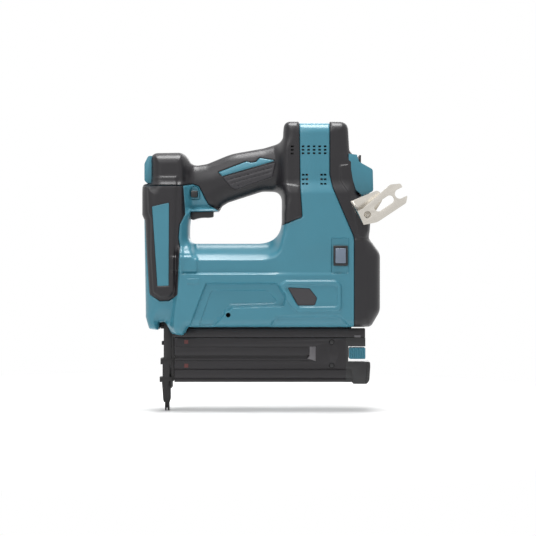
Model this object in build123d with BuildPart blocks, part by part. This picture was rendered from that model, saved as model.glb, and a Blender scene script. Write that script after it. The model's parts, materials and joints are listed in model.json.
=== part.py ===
"""Cordless brad nailer, built from its separate pieces. Millimetres, +Z up.

The origin is the lower end of the contact tip, on the path that the brad takes.
X runs from the nose (front) to the battery (rear), and Y = 0 is the plane where
the two casing halves meet. The left half is at negative Y.
"""

import os
from math import acos, cos, pi, radians, sin, sqrt, tan

from build123d import *

os.makedirs("parts", exist_ok=True)

# ---------------------------------------------------------------- driving sizes
wall = 2.8  # moulded wall of the casing
skin = 1.3  # soft cover laid into the outside of the casing
seam = 0.15  # gap along the edge of each cover
fit = 0.2  # gap round a seated piece
run = 0.3  # gap round a moving piece

column_half_length = 24.0  # front column, round the driving cylinder
column_half_width = 27.0
column_corner = 16.0
column_bottom = 84.5
body_bottom = 87.0
column_top = 234.0
cap_half_length = 19.5
cap_half_width = 22.5
cap_centre_x = 2.5
cap_top = 265.2

body_half_width = 35.5  # lower body
body_rim = 8.0
tower_half_width = 31.0  # tower that holds the motor
tower_rim = 9.0
tower_top = 296.4
tower_front_x = 119.5
bracket_half_width = 13.0  # trigger bracket under the handle
bracket_bottom = 204.5
mount_half_width = 31.0  # battery mount
mount_rear_x = 210.9
mount_floor_x = 199.0
mount_bottom = 213.0
mount_top = 262.0
channel_half_width = 25.0  # channel that the battery slides down
channel_lip = 5.0
channel_lip_depth = 4.0
channel_bottom = 182.0

liner_radius = 20.0  # driving cylinder
liner_bore = 17.0
liner_bottom = 114.0
liner_top = 216.0
head_top = 229.0
bumper_height = 16.0
piston_height = 14.0
drive_stroke = 68.0
blade_side = 1.6
nose_exit = 18.0  # height of the guide's lower end
contact_travel = 8.0

motor_x = 151.0  # motor, gears and crank share this upright axis
stator_radius = 26.0
stator_bottom = 196.0
stator_height = 50.0
rotor_radius = 14.5
shaft_radius = 3.0
gear_module = 0.9
sun_teeth = 12
planet_teeth = 18
ring_teeth = sun_teeth + 2 * planet_teeth
gear_width = 8.0
gear_bottom = 162.0
backlash = 0.22
crank_throw = 12.0
crank_pin_radius = 4.0

bore_height = 128.0  # axis of the compression cylinder
bore_radius = 21.0
bore_wall = 3.0
rod_length = 55.0
crown_gap = 20.0  # from the wrist pin to the piston's crown

magazine_front_x = 6.8
magazine_rear_x = 184.0
magazine_bottom = 29.5
magazine_top = 75.2
magazine_half_width = 9.5
rail_top = 84.5
rail_half_width = 9.0
rail_rear_x = 204.0
cover_travel = 150.0

trigger_half_width = 7.5
trigger_travel = 5.0
button_travel = 4.0

hook_sheet = 2.5
hook_reach = 26.0


# ---------------------------------------------------------------- small helpers
def save(part, name):
    """Labels a finished piece and writes its file."""
    part.label = name
    export_step(part, f"parts/{name}.step")
    return part


def slab(points, half_width, inset=0.0, rim=0.0):
    """A side outline of (x, z, corner radius) points, drawn out to both sides of the middle plane."""
    with BuildPart() as block:
        with BuildSketch(Plane.XZ):
            with BuildLine():
                FilletPolyline(*[(x, z) for x, z, _ in points], radius=[r for _, _, r in points], close=True)
            make_face()
            if inset:
                offset(amount=-inset, kind=Kind.INTERSECTION)
        extrude(amount=half_width - inset, both=True)
        if rim > inset:
            fillet(block.faces().filter_by(Axis.Y).edges(), rim - inset)
    return block.part


def region(points, inset=0.0):
    """A wide slab that cuts one cover's area out of the casing's surface."""
    return slab([(x, z, 0) for x, z in points], 60 + inset, inset)


def box(x0, x1, y0, y1, z0, z1):
    """A block between two corners, as a solid of its own."""
    with BuildPart() as block:
        with Locations(((x0 + x1) / 2, (y0 + y1) / 2, (z0 + z1) / 2)):
            Box(x1 - x0, y1 - y0, z1 - z0)
    return block.part


def upright(radius, z0, z1, x=0.0, y=0.0, bore=0.0):
    """A round piece on an upright axis, with a bore through it if one is given."""
    with BuildPart() as round_piece:
        with BuildSketch(Plane.XY.offset(z0)):
            with Locations((x, y)):
                Circle(radius)
                if bore:
                    Circle(bore, mode=Mode.SUBTRACT)
        extrude(amount=z1 - z0)
    return round_piece.part


def coil(radius, wire, pitch, height, x, y, z):
    """A coil spring standing on z."""
    with BuildPart() as spring:
        with BuildLine():
            path = Helix(pitch, height - 2 * wire, radius, center=(x, y, z + wire))
        with BuildSketch(Plane(origin=path @ 0, z_dir=path % 0)):
            Circle(wire)
        sweep()
    return spring.part


# ---------------------------------------------------------------- outside of the casing
lower_outline = [
    (8, body_bottom, 0), (205, body_bottom, 0), (218.5, 105, 12), (218.5, 156, 14), (207, 178, 0),
    (209.5, mount_bottom, 0), (188, 232, 0), (tower_front_x, 232, 0), (tower_front_x, 171, 20), (8, 171, 0),
]
tower_outline = [
    (tower_front_x, 150, 0), (196, 150, 0), (196, mount_top, 0), (187.5, mount_top + 3, 0),
    (186, tower_top, 18), (tower_front_x + 1, tower_top, 11),
]
bracket_outline = [(14, bracket_bottom, 0), (55, bracket_bottom, 2), (58, 214, 0), (48, 236, 0), (14, 236, 0)]
toe_outline = [(-2, 96, 0), (5, 79.5, 0), (18, 78.5, 0), (24, 90, 0), (24, 100, 0), (-2, 100, 0)]
toe_cut = [(-45, 101.5, 0), (-24.5, 101.5, 0), (-17, 82.5, 0), (-45, 82.5, 0)]
handle_sections = [  # x, centre height, half height, half width
    (12, 238, 15.0, 17.0), (30, 238, 15.2, 16.5), (48, 237.5, 20.5, 17.5),
    (70, 240.2, 23.3, 18.5), (99, 247.2, 22.7, 18.0), (128, 250, 27.0, 19.0),
]


def handle(inset):
    """The handle, as one smooth skin through oval sections."""
    with BuildPart() as grip:
        for x, z, half_height, half_width in handle_sections:
            with BuildSketch(Plane(origin=(x, 0, z), x_dir=(0, 1, 0), z_dir=(1, 0, 0))):
                Ellipse(half_width - inset, half_height - inset)
        loft()
    return grip.part


def upright_block(x, half_length, half_width, corner, z0, z1, inset, top_rim):
    """A rounded rectangle drawn upwards, with a rounded top edge."""
    with BuildPart() as block:
        with BuildSketch(Plane.XY.offset(z0 + inset)):
            with Locations((x, 0)):
                RectangleRounded(2 * (half_length - inset), 2 * (half_width - inset), corner - inset)
        extrude(amount=z1 - z0 - 2 * inset)
        fillet(block.faces().sort_by(Axis.Z)[-1].edges(), top_rim - inset)
    return block.part


def casing_volume(inset):
    """Everything inside the casing's surface, less a layer of the given thickness."""
    volume = slab(lower_outline, body_half_width, inset, body_rim)
    volume += slab(tower_outline, tower_half_width, inset, tower_rim)
    volume += slab(bracket_outline, bracket_half_width, inset)
    volume += slab(toe_outline, 16.0, inset)
    volume += handle(inset)
    volume += upright_block(
        0, column_half_length, column_half_width, column_corner, column_bottom, column_top, inset, 5.0
    )
    volume += upright_block(
        cap_centre_x, cap_half_length, cap_half_width, 17.0, column_top - 20, cap_top, inset, 8.0
    )
    return volume - slab(toe_cut, 60, -inset)


outside = casing_volume(0)
under_skin = casing_volume(skin)
inside = casing_volume(wall)
surface_layer = outside - under_skin
left_side = box(-60, 260, -90, 0, -10, 320)
right_side = box(-60, 260, 0, 90, -10, 320)

# ---------------------------------------------------------------- areas of the covers, in side view
grip_area = [
    (-40, 231), (18, 231), (27, 233), (33, 230.5), (42.5, 212), (54, 205), (100, 190), (118, 190),
    (139, 198.5), (136.5, 228), (136, 310), (-40, 310),
]
cylinder_area = [
    (-40, 229.5), (-40, 203), (-22, 197), (-20, 160), (-17, 120), (-6, 113), (3.5, 113.5), (12.3, 119.5),
    (13, 140), (14.5, 168), (13, 178), (14.2, 191), (19.6, 202), (17.5, 229.5),
]
rear_area = [(166.5, 310), (166.5, 240), (168.6, 228), (191, 179), (191, 70), (230, 70), (230, 310)]
nameplate_area = [(-14, 209.5), (3.3, 213.5), (2.9, 129), (-8.5, 128.5)]
grip_pad_area = [(57, 240.6), (111.7, 255.8), (108.7, 240.5), (71, 227.5), (65.8, 230)]
grip_accent_area = [(53, 245.2), (57, 241.2), (112.2, 257), (95.4, 260), (92, 255.8), (87, 255), (82, 256.3)]
side_pad_area = [(123.8, 127.3), (146.2, 126.3), (153.3, 117.1), (151.3, 109), (134, 109)]

# ---------------------------------------------------------------- casing halves
screw_places = [(63.7, 99.2), (178, 96), (40, 160), (127, 287), (172, 284), (84, 243)]  # x, z
screw_shank = 1.75
boss_radius = 4.5
hook_place = (200.0, 200.0)  # x, z of the hook's screw
hook_thread = 2.0
hook_boss_depth = 11.5
wheel_place = (24.0, body_half_width - 8.5)  # x, y of the depth wheel's upright rod
pipe_place = (14.6, 17.0)  # x, y of the upright air pipe
pipe_radius = 2.0
wheel_radius = 10.0
wheel_bottom = 107.0
wheel_height = 6.0
button_area = (25.0, 31.6, 219.6, 226.0)  # x and z limits of the lock button
power_area = (171.0, 184.0, 150.0, 168.6)  # x and z limits of the power switch's frame


def across(x, z, radius, y0, y1):
    """A round piece on an axis across the tool."""
    with BuildPart() as rod:
        with BuildSketch(Plane.XZ.offset(-y1)):
            with Locations((x, z)):
                Circle(radius)
        extrude(amount=y1 - y0)
    return rod.part


def lengthways(x0, x1, y, z, radius):
    """A round piece on an axis along X."""
    with BuildPart() as rod:
        with BuildSketch(Plane.YZ.offset(x0)):
            with Locations((y, z)):
                Circle(radius)
        extrude(amount=x1 - x0)
    return rod.part


def inner_ribs():
    """Ribs across the hollow of the casing that seat the cylinders, the gear case and the motor."""
    seats = [  # x and z limits of each rib, and what is cut out of it
        (-30, 24, 105, 107.8, upright(12, 100, 110)),
        (-30, 24, 196, 199, upright(liner_radius + fit, 190, 205)),
        (119, 190, 150, 153, upright(28.7 + fit, 140, 160, motor_x)),
        (115, 184, 204, 207, upright(stator_radius + fit, 200, 210, motor_x)),
        (115, 184, 238, 241, upright(stator_radius + fit, 230, 250, motor_x)),
        (115, 192, 271, 277, upright(7 + fit, 265, 280, motor_x)),
        (60, 63, 88, 170, lengthways(50, 130, 0, bore_height, bore_radius + bore_wall + fit)),
        (108, 111, 88, 170, lengthways(50, 130, 0, bore_height, bore_radius + bore_wall + fit)),
    ]
    ribs = None
    for x0, x1, z0, z1, seat in seats:
        rib = (box(x0, x1, -50, 50, z0, z1) & inside) - seat
        ribs = rib if ribs is None else ribs + rib
    return ribs + (box(17, 31, 20, 40, 142, 145) & inside)


def vent_slots():
    """Rows of cooling slots through both sides of the tower."""
    slots = []
    for x in (138.6, 143.6, 148.6, 153.6, 158.6):
        for z in (264, 267, 270):
            slots.append((x, z))
    for x in (138.2, 141.6, 155.8, 159.2):
        for z in (233.5, 237.4, 241.3):
            slots.append((x, z))
    for z in (263, 266.2, 269.4):
        slots.append((127.6, z))
    with BuildPart() as cut:
        with BuildSketch(Plane.XZ):
            with Locations(*slots):
                RectangleRounded(2.8, 1.5, 0.4)
        extrude(amount=60, both=True)
    return cut.part


def casing_openings():
    """Everything that passes through the casing's wall."""
    bx0, bx1, bz0, bz1 = button_area
    px0, px1, pz0, pz1 = power_area
    wx, wy = wheel_place
    cuts = box(-9, 26, -rail_half_width - run, rail_half_width + run, 70, 99.5)
    cuts += box(24.2, 48.4, -trigger_half_width - run, trigger_half_width + run, 200, 208)
    cuts += box(bx0 - run, bx1 + run, -30, 30, bz0 - run, bz1 + run)
    cuts += box(px0, px1, -body_half_width - 5, -body_half_width + 8, pz0, pz1)
    cuts += upright(2.4, 88, 120, wx, wy)
    cuts += upright(pipe_radius + fit, 190, 205, *pipe_place)
    cuts += upright(wheel_radius + run, wheel_bottom - run, wheel_bottom + wheel_height + run, wx, wy)
    cuts += vent_slots()
    return cuts


def screw_cuts(x, z, head_side):
    """The hole for one casing screw, with its head sunk on one side."""
    length, head_depth = 18, 12
    half_width = 60
    hole = across(x, z, screw_shank + 0.1, -length, length)
    if head_side < 0:
        return hole + across(x, z, 3.6, -half_width, -head_depth)
    return hole + across(x, z, 3.6, head_depth, half_width)


bosses = None
for place in screw_places:
    boss = across(*place, boss_radius, -40, 40) & inside
    bosses = boss if bosses is None else bosses + boss
hook_bosses = across(*hook_place, 5.5, -body_half_width, body_half_width) & inside
hook_bosses -= across(*hook_place, 6, -body_half_width + hook_boss_depth, body_half_width - hook_boss_depth)
tray = box(193.5, 215, -28, 28, 179, mount_bottom) & outside
battery_channel = box(mount_floor_x, mount_rear_x - channel_lip_depth, -channel_half_width,
                      channel_half_width, channel_bottom, mount_top + 5)
battery_channel += box(mount_floor_x, mount_rear_x + 5, -channel_half_width + channel_lip,
                       channel_half_width - channel_lip, channel_bottom, mount_top + 5)

casing = outside - inside + inner_ribs() + bosses + hook_bosses + tray
casing -= battery_channel
casing -= casing_openings()
hook_threads = across(*hook_place, hook_thread, channel_half_width, body_half_width + 10)
hook_threads += across(*hook_place, hook_thread, -body_half_width - 10, -channel_half_width)
casing -= hook_threads
for number, place in enumerate(screw_places):
    casing -= screw_cuts(*place, -1 if number == 0 else 1)

cover_cuts = casing_openings() + battery_channel + hook_threads
for number, place in enumerate(screw_places):
    cover_cuts += across(*place, 3.6, *((-60, -12) if number == 0 else (12, 60)))

cover_areas = {
    "grip": (grip_area, [grip_pad_area, grip_accent_area]),
    "cylinder_cover": (cylinder_area, [nameplate_area]),
    "rear_cover": (rear_area, []),
}
for area, inlays in cover_areas.values():
    casing -= surface_layer & region(area)
casing -= surface_layer & region(side_pad_area)
save(casing & left_side, "housing_left")
save(casing & right_side, "housing_right")
for name, (area, inlays) in cover_areas.items():
    layer = surface_layer & region(area, seam)
    for inlay in inlays:
        layer -= region(inlay)
    layer -= cover_cuts
    save(layer & left_side, f"{name}_left")
    save(layer & right_side, f"{name}_right")
inlay_areas = {
    "nameplates": nameplate_area, "grip_pads": grip_pad_area,
    "grip_accents": grip_accent_area, "side_pads": side_pad_area,
}
for name, area in inlay_areas.items():
    save((surface_layer & region(area, seam)) - cover_cuts, name)

# ---------------------------------------------------------------- trim and fittings on the casing
strip_outline = [(-22.9, 236.5, 3), (-18, 232, 0), (-10, 232, 0), (-10, 262, 0), (-19, 262, 3), (-22.9, 254, 6)]
save(slab(strip_outline, 13) - outside, "front_strip")

screws = None
for number, (x, z) in enumerate(screw_places):
    side = -1 if number == 0 else 1
    far, near = side * -15, side * 12
    screw = across(x, z, screw_shank, min(far, near), max(far, near))
    screw += across(x, z, 3.3, min(near, side * 14.5), max(near, side * 14.5))
    screw -= across(x, z, 1.6, min(side * 13, side * 15), max(side * 13, side * 15))
    screws = screw if screws is None else screws + screw
save(screws, "housing_screws")

mount_outline = [
    (186, mount_top + 1, 0), (194.2, mount_top, 0), (196.4, 254.9, 3), (210.4, 247, 3),
    (mount_rear_x, 224.8, 3), (198, 220.2, 0), (186, 219, 0),
]
save(slab(mount_outline, mount_half_width) - outside - battery_channel, "battery_mount")

contacts = None
for y in (-12, -4, 4, 12):
    blade = box(202, 206.8, y - 0.5, y + 0.5, 190, 212)
    contacts = blade if contacts is None else contacts + blade
save(box(mount_floor_x, 205, -17, 17, channel_bottom + 4, 210) - contacts, "terminal_block")
save(contacts, "battery_contacts")

px0, px1, pz0, pz1 = power_area
side_y = -body_half_width
frame = box(px0 - 0.8, px1 + 0.8, side_y - 0.8, side_y, pz0 - 0.9, pz1 + 0.9)
frame += box(px0 + fit, px1 - fit, side_y, side_y + 6.5, pz0 + fit, pz1 - fit)
button_hole = box(172.2 - run, 182.8 + run, side_y - 5, side_y + 5, 151.7 - run, 167 + run)
save(frame - button_hole, "power_switch_frame")
save(box(172.2, 182.8, side_y - 1.7, side_y + 3.9, 151.7, 167), "power_button")

# ---------------------------------------------------------------- carrying hook
hook_base = [(187.4, 214.2, 1), (216, 226.2, 4), (220, 216, 4), (208, 196.5, 4), (193.4, 201.2, 0)]
hook_arm = [
    (191.6, 203.5, 0), (193.4, 201.2, 0), (224.5, 229.5, 4), (236, 230.5, 2), (242.8, 218, 2),
    (241.5, 211.5, 3), (211, 192.5, 12), (196.5, 189.8, 6),
]
base_y = -body_half_width - hook_sheet
arm_y = -body_half_width - hook_reach


def sheet(points, y0, y1):
    """A flat sheet with the given side outline, between two distances across the tool."""
    return slab(points, 80) & box(-60, 260, y0, y1, -10, 320)


with BuildPart() as bend:
    with BuildSketch(Plane.XZ.offset(body_half_width)):
        with BuildLine():
            Polyline((187.4, 214.2), (193.4, 201.2), (195.6, 202.2), (189.6, 215.2), close=True)
        make_face()
    extrude(amount=sqrt(hook_reach**2 + 6.0**2 + 11.5**2), dir=(6.0, -hook_reach, -11.5))
hook_outer = sheet(
    [(193.2, 203.2, 0), (199, 206.5, 0), (225.5, 230, 4), (236, 231, 2), (242.8, 218, 2), (241.5, 211.5, 3),
     (213, 192.5, 14), (199.4, 189.8, 3)],
    arm_y, arm_y + hook_sheet,
)
slot_angle = 34.0
with BuildPart() as hook_cuts:
    with BuildSketch(Plane.XZ.offset(-arm_y - 5)):
        with Locations((203, 200)):
            Circle(3.6)
        with Locations(Location((219.5, 211.2, 0), (0, 0, slot_angle))):
            SlotOverall(22, 8.2)
        with Locations(Location((238, 222.2, 0), (0, 0, slot_angle - 8))):
            SlotOverall(16, 9.6)
    extrude(amount=10)
hook = sheet(hook_base, base_y, -body_half_width) + bend.part + (hook_outer - hook_cuts.part)
hook -= across(*hook_place, 2.2, base_y - 1, side_y + 3)
hook -= box(180, 260, arm_y - 10, arm_y, 150, 260)
save(hook, "hook")
hook_screw = across(*hook_place, 1.9, base_y, side_y + 10) + across(*hook_place, 3.4, base_y - 2.4, base_y)
hook_screw -= across(*hook_place, 1.5, base_y - 3, base_y - 1)
save(hook_screw, "hook_screw")

# ---------------------------------------------------------------- driving cylinder
save(upright(liner_radius, liner_bottom, liner_top, bore=liner_bore), "cylinder_liner")
head = upright(liner_radius, liner_top, head_top) - upright(liner_bore - 3, liner_top - 1, head_top - 4)
head += upright(3.4, liner_top + 1, head_top, *pipe_place)
head -= upright(pipe_radius, liner_top, head_top - 5, *pipe_place)
save(head, "cylinder_head")
save(upright(liner_bore - fit, liner_bottom, liner_bottom + bumper_height, bore=4.0), "bumper")
piston_bottom = liner_bottom + bumper_height + run + drive_stroke
piston = upright(liner_bore - 0.1, piston_bottom, piston_bottom + piston_height)
piston -= upright(liner_bore - 4, piston_bottom + 9, piston_bottom + piston_height + 1)
for z in (3.0, 7.5):
    piston -= upright(liner_bore + 1, piston_bottom + z, piston_bottom + z + 1.6, bore=liner_bore - 1.2)
blade_bottom = nose_exit - 0.5 + drive_stroke
blade = box(-0.85, 0.75, -0.8, 0.8, blade_bottom, piston_bottom + 7)
save(piston - blade, "drive_piston")
save(blade, "driver_blade")

# ---------------------------------------------------------------- nose
guide = upright(liner_radius, 107.8, liner_bottom)
guide += box(-1, 6.6, -7, 7, 44, 108)
guide += box(-1, 6.6, -2.2, 2.2, 30, 44)
guide += box(-1, 1.9, -2.2, 2.2, nose_exit, 30)
guide -= box(-1, 0.9, -0.95, 0.95, nose_exit - 1, 120)
guide -= box(0.8, 7, -0.7, 0.7, 34, 84)
plate = box(-3.5, -1, -7, 7, 44, 90) + box(-2.6, -1, -2.2, 2.2, nose_exit, 44)
nose_screws = None
for z, head_radius, head_length in ((69.5, 2.0, 2.1), (86.5, 2.2, 3.3)):
    for y in (-4.7, 4.7):
        hole = lengthways(-4, 5.5, y, z, 1.5)
        guide -= hole
        plate -= hole
        screw = lengthways(-3.5, 5.3, y, z, 1.45) + lengthways(-3.5 - head_length, -3.5, y, z, head_radius)
        nose_screws = screw if nose_screws is None else nose_screws + screw
save(guide, "driver_guide")
save(plate, "nose_plate")
save(nose_screws, "nose_screws")

wx, wy = wheel_place
arm = box(-6.6, 5, -9.7, 9.7, 47.8, 54) - box(-5, 6, -7.2, 7.2, 47, 55)
for side in (-1, 1):
    y0, y1 = min(side * 7.2, side * 8.7), max(side * 7.2, side * 8.7)
    arm += box(-3.3, 4.5, y0, y1, 50, 92)
    arm += box(-4.6, 2.6, y0, y1, 34.6, 52)
    arm += box(0, 4.5, y0, y1, 90, 96) if side > 0 else box(0, 4.5, y0, y1, 90, 92)
with BuildPart() as bar:
    with BuildSketch(Plane.XY.offset(92)):
        with BuildLine():
            Polyline((0, 7.2), (4.5, 7.2), (4.5, 13.5), (25.5, 23), (28, 27), (25.5, 30), (22.5, 29.5),
                     (0, 16), close=True)
        make_face()
    extrude(amount=4)
arm += bar.part + upright(2.0, 94, 128, wx, wy) + upright(3.6, 116, 118, wx, wy)
save(arm, "contact_arm")
save(coil(3.0, 0.45, 3.2, 23.6, wx, wy, 118.2), "contact_spring")
knurl = None
with BuildPart() as wheel:
    with BuildSketch(Plane.XY.offset(wheel_bottom)):
        with Locations((wx, wy)):
            Circle(wheel_radius)
            Circle(2.06, mode=Mode.SUBTRACT)
            with PolarLocations(wheel_radius + 0.3, 30):
                Circle(0.7, mode=Mode.SUBTRACT)
    extrude(amount=wheel_height)
save(wheel.part, "depth_wheel")

tip_outline = [
    (-5.6, 34.6, 0), (3.4, 34.6, 0), (3.4, 12, 0), (2.4, 8.5, 0), (-3.6, 8.5, 0), (-4.3, 11, 0), (-5.6, 29, 0),
]
tip = slab(tip_outline, 3.6) + box(-7.6, 1.5, -8.7, 8.7, 29.5, 34.6)
for side in (-1, 1):
    y0, y1 = min(side * 6.4, side * 8.7), max(side * 6.4, side * 8.7)
    tip += box(0, 5.2, y0, y1, 30.5, 34.6) + box(3.6, 5.2, y0, y1, 23.4, 34.6)
tip -= box(-2.9, 8, -2.5, 2.5, 9.7, 40)
tip += box(-2.5, 2.1, -2.4, 2.4, 0, 9.7)
tip -= upright(1.3, -1, 12)
tip -= box(-0.9, 0.1, -3, 3, -1, 2.5)
save(tip, "contact_tip")

# ---------------------------------------------------------------- magazine
rail = box(magazine_front_x, rail_rear_x, -rail_half_width, rail_half_width, magazine_top + 0.2, rail_top)
rail += box(magazine_front_x, 182, 1.2, 4.2, 36, magazine_top + 1)
rail += box(100, 125, -6, 6, rail_top, body_bottom) + box(170, 190, -6, 6, rail_top, body_bottom)
rail -= box(magazine_front_x - 1, 182, -1.2, 1.2, 60, 82.5)
save(rail, "magazine_rail")

cover = box(7.7, magazine_rear_x, -magazine_half_width, magazine_half_width, magazine_bottom, magazine_top)
cover -= box(7, magazine_rear_x + 1, -1.2, 7, 33, magazine_top + 1)
rivet_places = [(169.6, 70.7), (169.6, 46.6)]
window_places = [(19.9, 70.9), (19.9, 46.4)]
windows = None
rivets = None
for x, z in window_places:
    mark = box(x - 2, x + 2, -magazine_half_width - 0.1, -magazine_half_width + 0.9, z - 2, z + 2)
    cover -= mark
    windows = mark if windows is None else windows + mark
for x, z in rivet_places:
    shank = across(x, z, 1.2, -magazine_half_width, -3)
    cover -= shank
    rivet = shank + across(x, z, 2.2, -magazine_half_width - 0.8, -magazine_half_width)
    rivets = rivet if rivets is None else rivets + rivet
save(cover, "magazine_cover")
save(windows, "length_windows")
save(rivets, "magazine_rivets")

block = box(magazine_rear_x, 209.3, -magazine_half_width, magazine_half_width, 27.5, 50)
block += box(magazine_rear_x, 204, -magazine_half_width, magazine_half_width, 66, magazine_top)
block += box(magazine_rear_x, 187, -magazine_half_width, magazine_half_width, 50, 66)
latch_place = (190.5, 60.0)
for side in (-1, 1):
    y0, y1 = min(side * 7.4, side * 9.5), max(side * 7.4, side * 9.5)
    block += box(186, 194, y0, y1, 50, 66)
block += across(*latch_place, 1.5, -8, 8)
save(block, "magazine_block")
latch_outline = [(188.6, 55.8, 1), (188.6, 64.4, 1), (204, 65, 2), (204, 55.8, 2)]
latch = slab(latch_outline, 7.0)
for x in (196.5, 199, 201.5):
    for side in (-1, 1):
        latch -= box(x - 0.5, x + 0.5, min(side * 6.4, side * 8), max(side * 6.4, side * 8), 50, 70)
save(latch - across(*latch_place, 1.56, -8, 8), "latch_lever")

pusher = box(9.5, 22, -0.9, 0.9, 33.4, 74) + box(1.1, 10, -0.55, 0.55, 36, 72)
pusher += box(10, 22, -0.9, 6.6, 33.4, 35.7) + box(10, 22, 4.5, 6.6, 33.4, 60)
save(pusher, "pusher")
with BuildPart() as roll:
    with BuildSketch(Plane.XZ.offset(-6.4)):
        with Locations((172, 52)):
            Circle(8.2)
            Circle(6.2, mode=Mode.SUBTRACT)
    extrude(amount=1.8)
save(roll.part + box(22.1, 172, 4.6, 6.4, 43.8, 44.2), "pusher_spring")

# ---------------------------------------------------------------- trigger
trigger_outline = [
    (24.6, 213.5, 0), (24.6, 197, 1), (27, 196.6, 1), (34, 199, 30), (43, 198.8, 20), (47.8, 199.5, 2),
    (47.8, 213.5, 0),
]
trigger = slab(trigger_outline, trigger_half_width) - upright(3.0, 209.5, 214, 42, 0)
save(trigger, "trigger")
save(box(36, 50, -5, 5, 219.2, 229.2), "trigger_switch")
save(coil(2.3, 0.4, 2.2, 9.4, 42, 0, 209.7), "trigger_spring")
bx0, bx1, bz0, bz1 = button_area
save(box(bx0, bx1, -17, 11, bz0, bz1), "lock_button")

# ---------------------------------------------------------------- compression cylinder and valve block
cylinder_front_x = 61.0
cylinder_rear_x = 118.0
wrist_x = motor_x - crank_throw - rod_length
save(
    lengthways(cylinder_front_x, cylinder_rear_x, 0, bore_height, bore_radius + bore_wall)
    - lengthways(cylinder_front_x - 1, cylinder_rear_x + 1, 0, bore_height, bore_radius),
    "compression_cylinder",
)
valve = lengthways(57, cylinder_front_x, 0, bore_height, bore_radius + bore_wall)
valve += box(24, 57, -14, 14, 114.5, 142) + box(24, 34, 10, 20.4, 119, 129)
valve += lengthways(pipe_place[0], 25, pipe_place[1], 124, pipe_radius) + upright(
    pipe_radius, 124 - pipe_radius, head_top - 6, *pipe_place
)
valve -= lengthways(30, 62, 0, bore_height, 3)
save(valve, "valve_block")
crown_x = wrist_x - crown_gap
skirt_x = wrist_x + 10
big_piston = lengthways(crown_x, skirt_x, 0, bore_height, bore_radius - 0.1)
big_piston -= lengthways(crown_x + 5, skirt_x + 1, 0, bore_height, 16)
for x in (crown_x + 2.5, crown_x + 7):
    groove = lengthways(x, x + 1.6, 0, bore_height, bore_radius + 1) - lengthways(x, x + 1.6, 0, bore_height, 19.6)
    big_piston -= groove
big_piston += upright(4.0, bore_height - 18, bore_height + 18, wrist_x)
save(big_piston, "compression_piston")
pin_x = motor_x - crank_throw
rod = upright(7.5, bore_height - 6, bore_height + 6, wrist_x) + upright(9, bore_height - 6, bore_height + 6, pin_x)
rod += box(wrist_x, pin_x, -4.5, 4.5, bore_height - 4, bore_height + 4)
rod -= upright(4.06, bore_height - 10, bore_height + 10, wrist_x)
rod -= upright(crank_pin_radius + 0.1, bore_height - 10, bore_height + 10, pin_x)
save(rod, "connecting_rod")


# ---------------------------------------------------------------- gears
def flank(teeth, radius, thickness):
    """Half the angle that a tooth takes up at a radius, on the involute of a 20 degree gear."""
    pitch = gear_module * teeth / 2
    base = pitch * cos(radians(20))
    involute = tan(radians(20)) - radians(20)
    angle = acos(min(1.0, base / max(radius, base)))
    return thickness / (2 * pitch) + involute - (tan(angle) - angle)


def gear_points(teeth, inner, outer, thickness, x, y, turn):
    """Corners of a gear's outline with flat-faced teeth, the first tooth at the angle of turn."""
    points = []
    radii = [inner, inner + (outer - inner) / 2, outer]
    for number in range(teeth):
        middle = radians(turn) + 2 * pi * number / teeth
        for radius in radii:
            angle = middle - flank(teeth, radius, thickness)
            points.append((x + radius * cos(angle), y + radius * sin(angle)))
        for radius in reversed(radii):
            angle = middle + flank(teeth, radius, thickness)
            points.append((x + radius * cos(angle), y + radius * sin(angle)))
    return points


def gear_solid(points, z0, height):
    """A gear's outline drawn upwards."""
    with BuildPart() as blank:
        with BuildSketch(Plane.XY.offset(z0)):
            with BuildLine():
                Polyline(*points, close=True)
            make_face()
        extrude(amount=height)
    return blank.part


tooth = pi * gear_module / 2
sun_pitch = gear_module * sun_teeth / 2
planet_pitch = gear_module * planet_teeth / 2
ring_pitch = gear_module * ring_teeth / 2
planet_distance = sun_pitch + planet_pitch
addendum = 0.8 * gear_module
dedendum = 1.25 * gear_module

ring_gear = upright(25.3, gear_bottom - 0.5, gear_bottom + gear_width + 0.5, motor_x)
ring_gear -= gear_solid(
    gear_points(ring_teeth, ring_pitch - addendum, ring_pitch + dedendum, tooth + backlash, motor_x, 0,
                180 / ring_teeth),
    gear_bottom - 2, gear_width + 4,
)
save(ring_gear, "ring_gear")
for number in range(3):
    angle = radians(120 * number)
    x = motor_x + planet_distance * cos(angle)
    y = planet_distance * sin(angle)
    planet = gear_solid(
        gear_points(planet_teeth, planet_pitch - dedendum, planet_pitch + addendum, tooth - backlash, x, y,
                    120 * number + 180 / planet_teeth),
        gear_bottom, gear_width,
    )
    save(planet - upright(2.56, 150, 180, x, y), f"planet_gear_{number + 1}")

crank = upright(20, 139.5, 145.5, motor_x) - box(100, 200, 8, 30, 130, 150) - box(100, 200, -30, -8, 130, 150)
crank += upright(20, 139.5, 145.5, motor_x) & box(motor_x + 2, 200, -30, 30, 130, 150)
crank += upright(crank_pin_radius, bore_height + 6.3, 142, pin_x)
crank += upright(8, 145, 158.5, motor_x) + upright(19, 158, 160.7, motor_x)
for number in range(3):
    angle = radians(120 * number)
    crank += upright(2.5, 160, 170.6, motor_x + planet_distance * cos(angle), planet_distance * sin(angle))
save(crank, "crank")

bearing_low, bearing_high = 148.0, 156.0
gear_case = upright(28.7, 146.2, 178, motor_x) - upright(26, 157, 171.6, motor_x)
gear_case -= upright(16, bearing_low, 158, motor_x)
gear_case -= upright(12, 140, 160, motor_x)
gear_case -= upright(8, 171, 180, motor_x)
gear_case += upright(26.5, gear_bottom - 0.5, gear_bottom + gear_width + 0.5, motor_x, bore=25.3)
save(gear_case, "gear_case")

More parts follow.
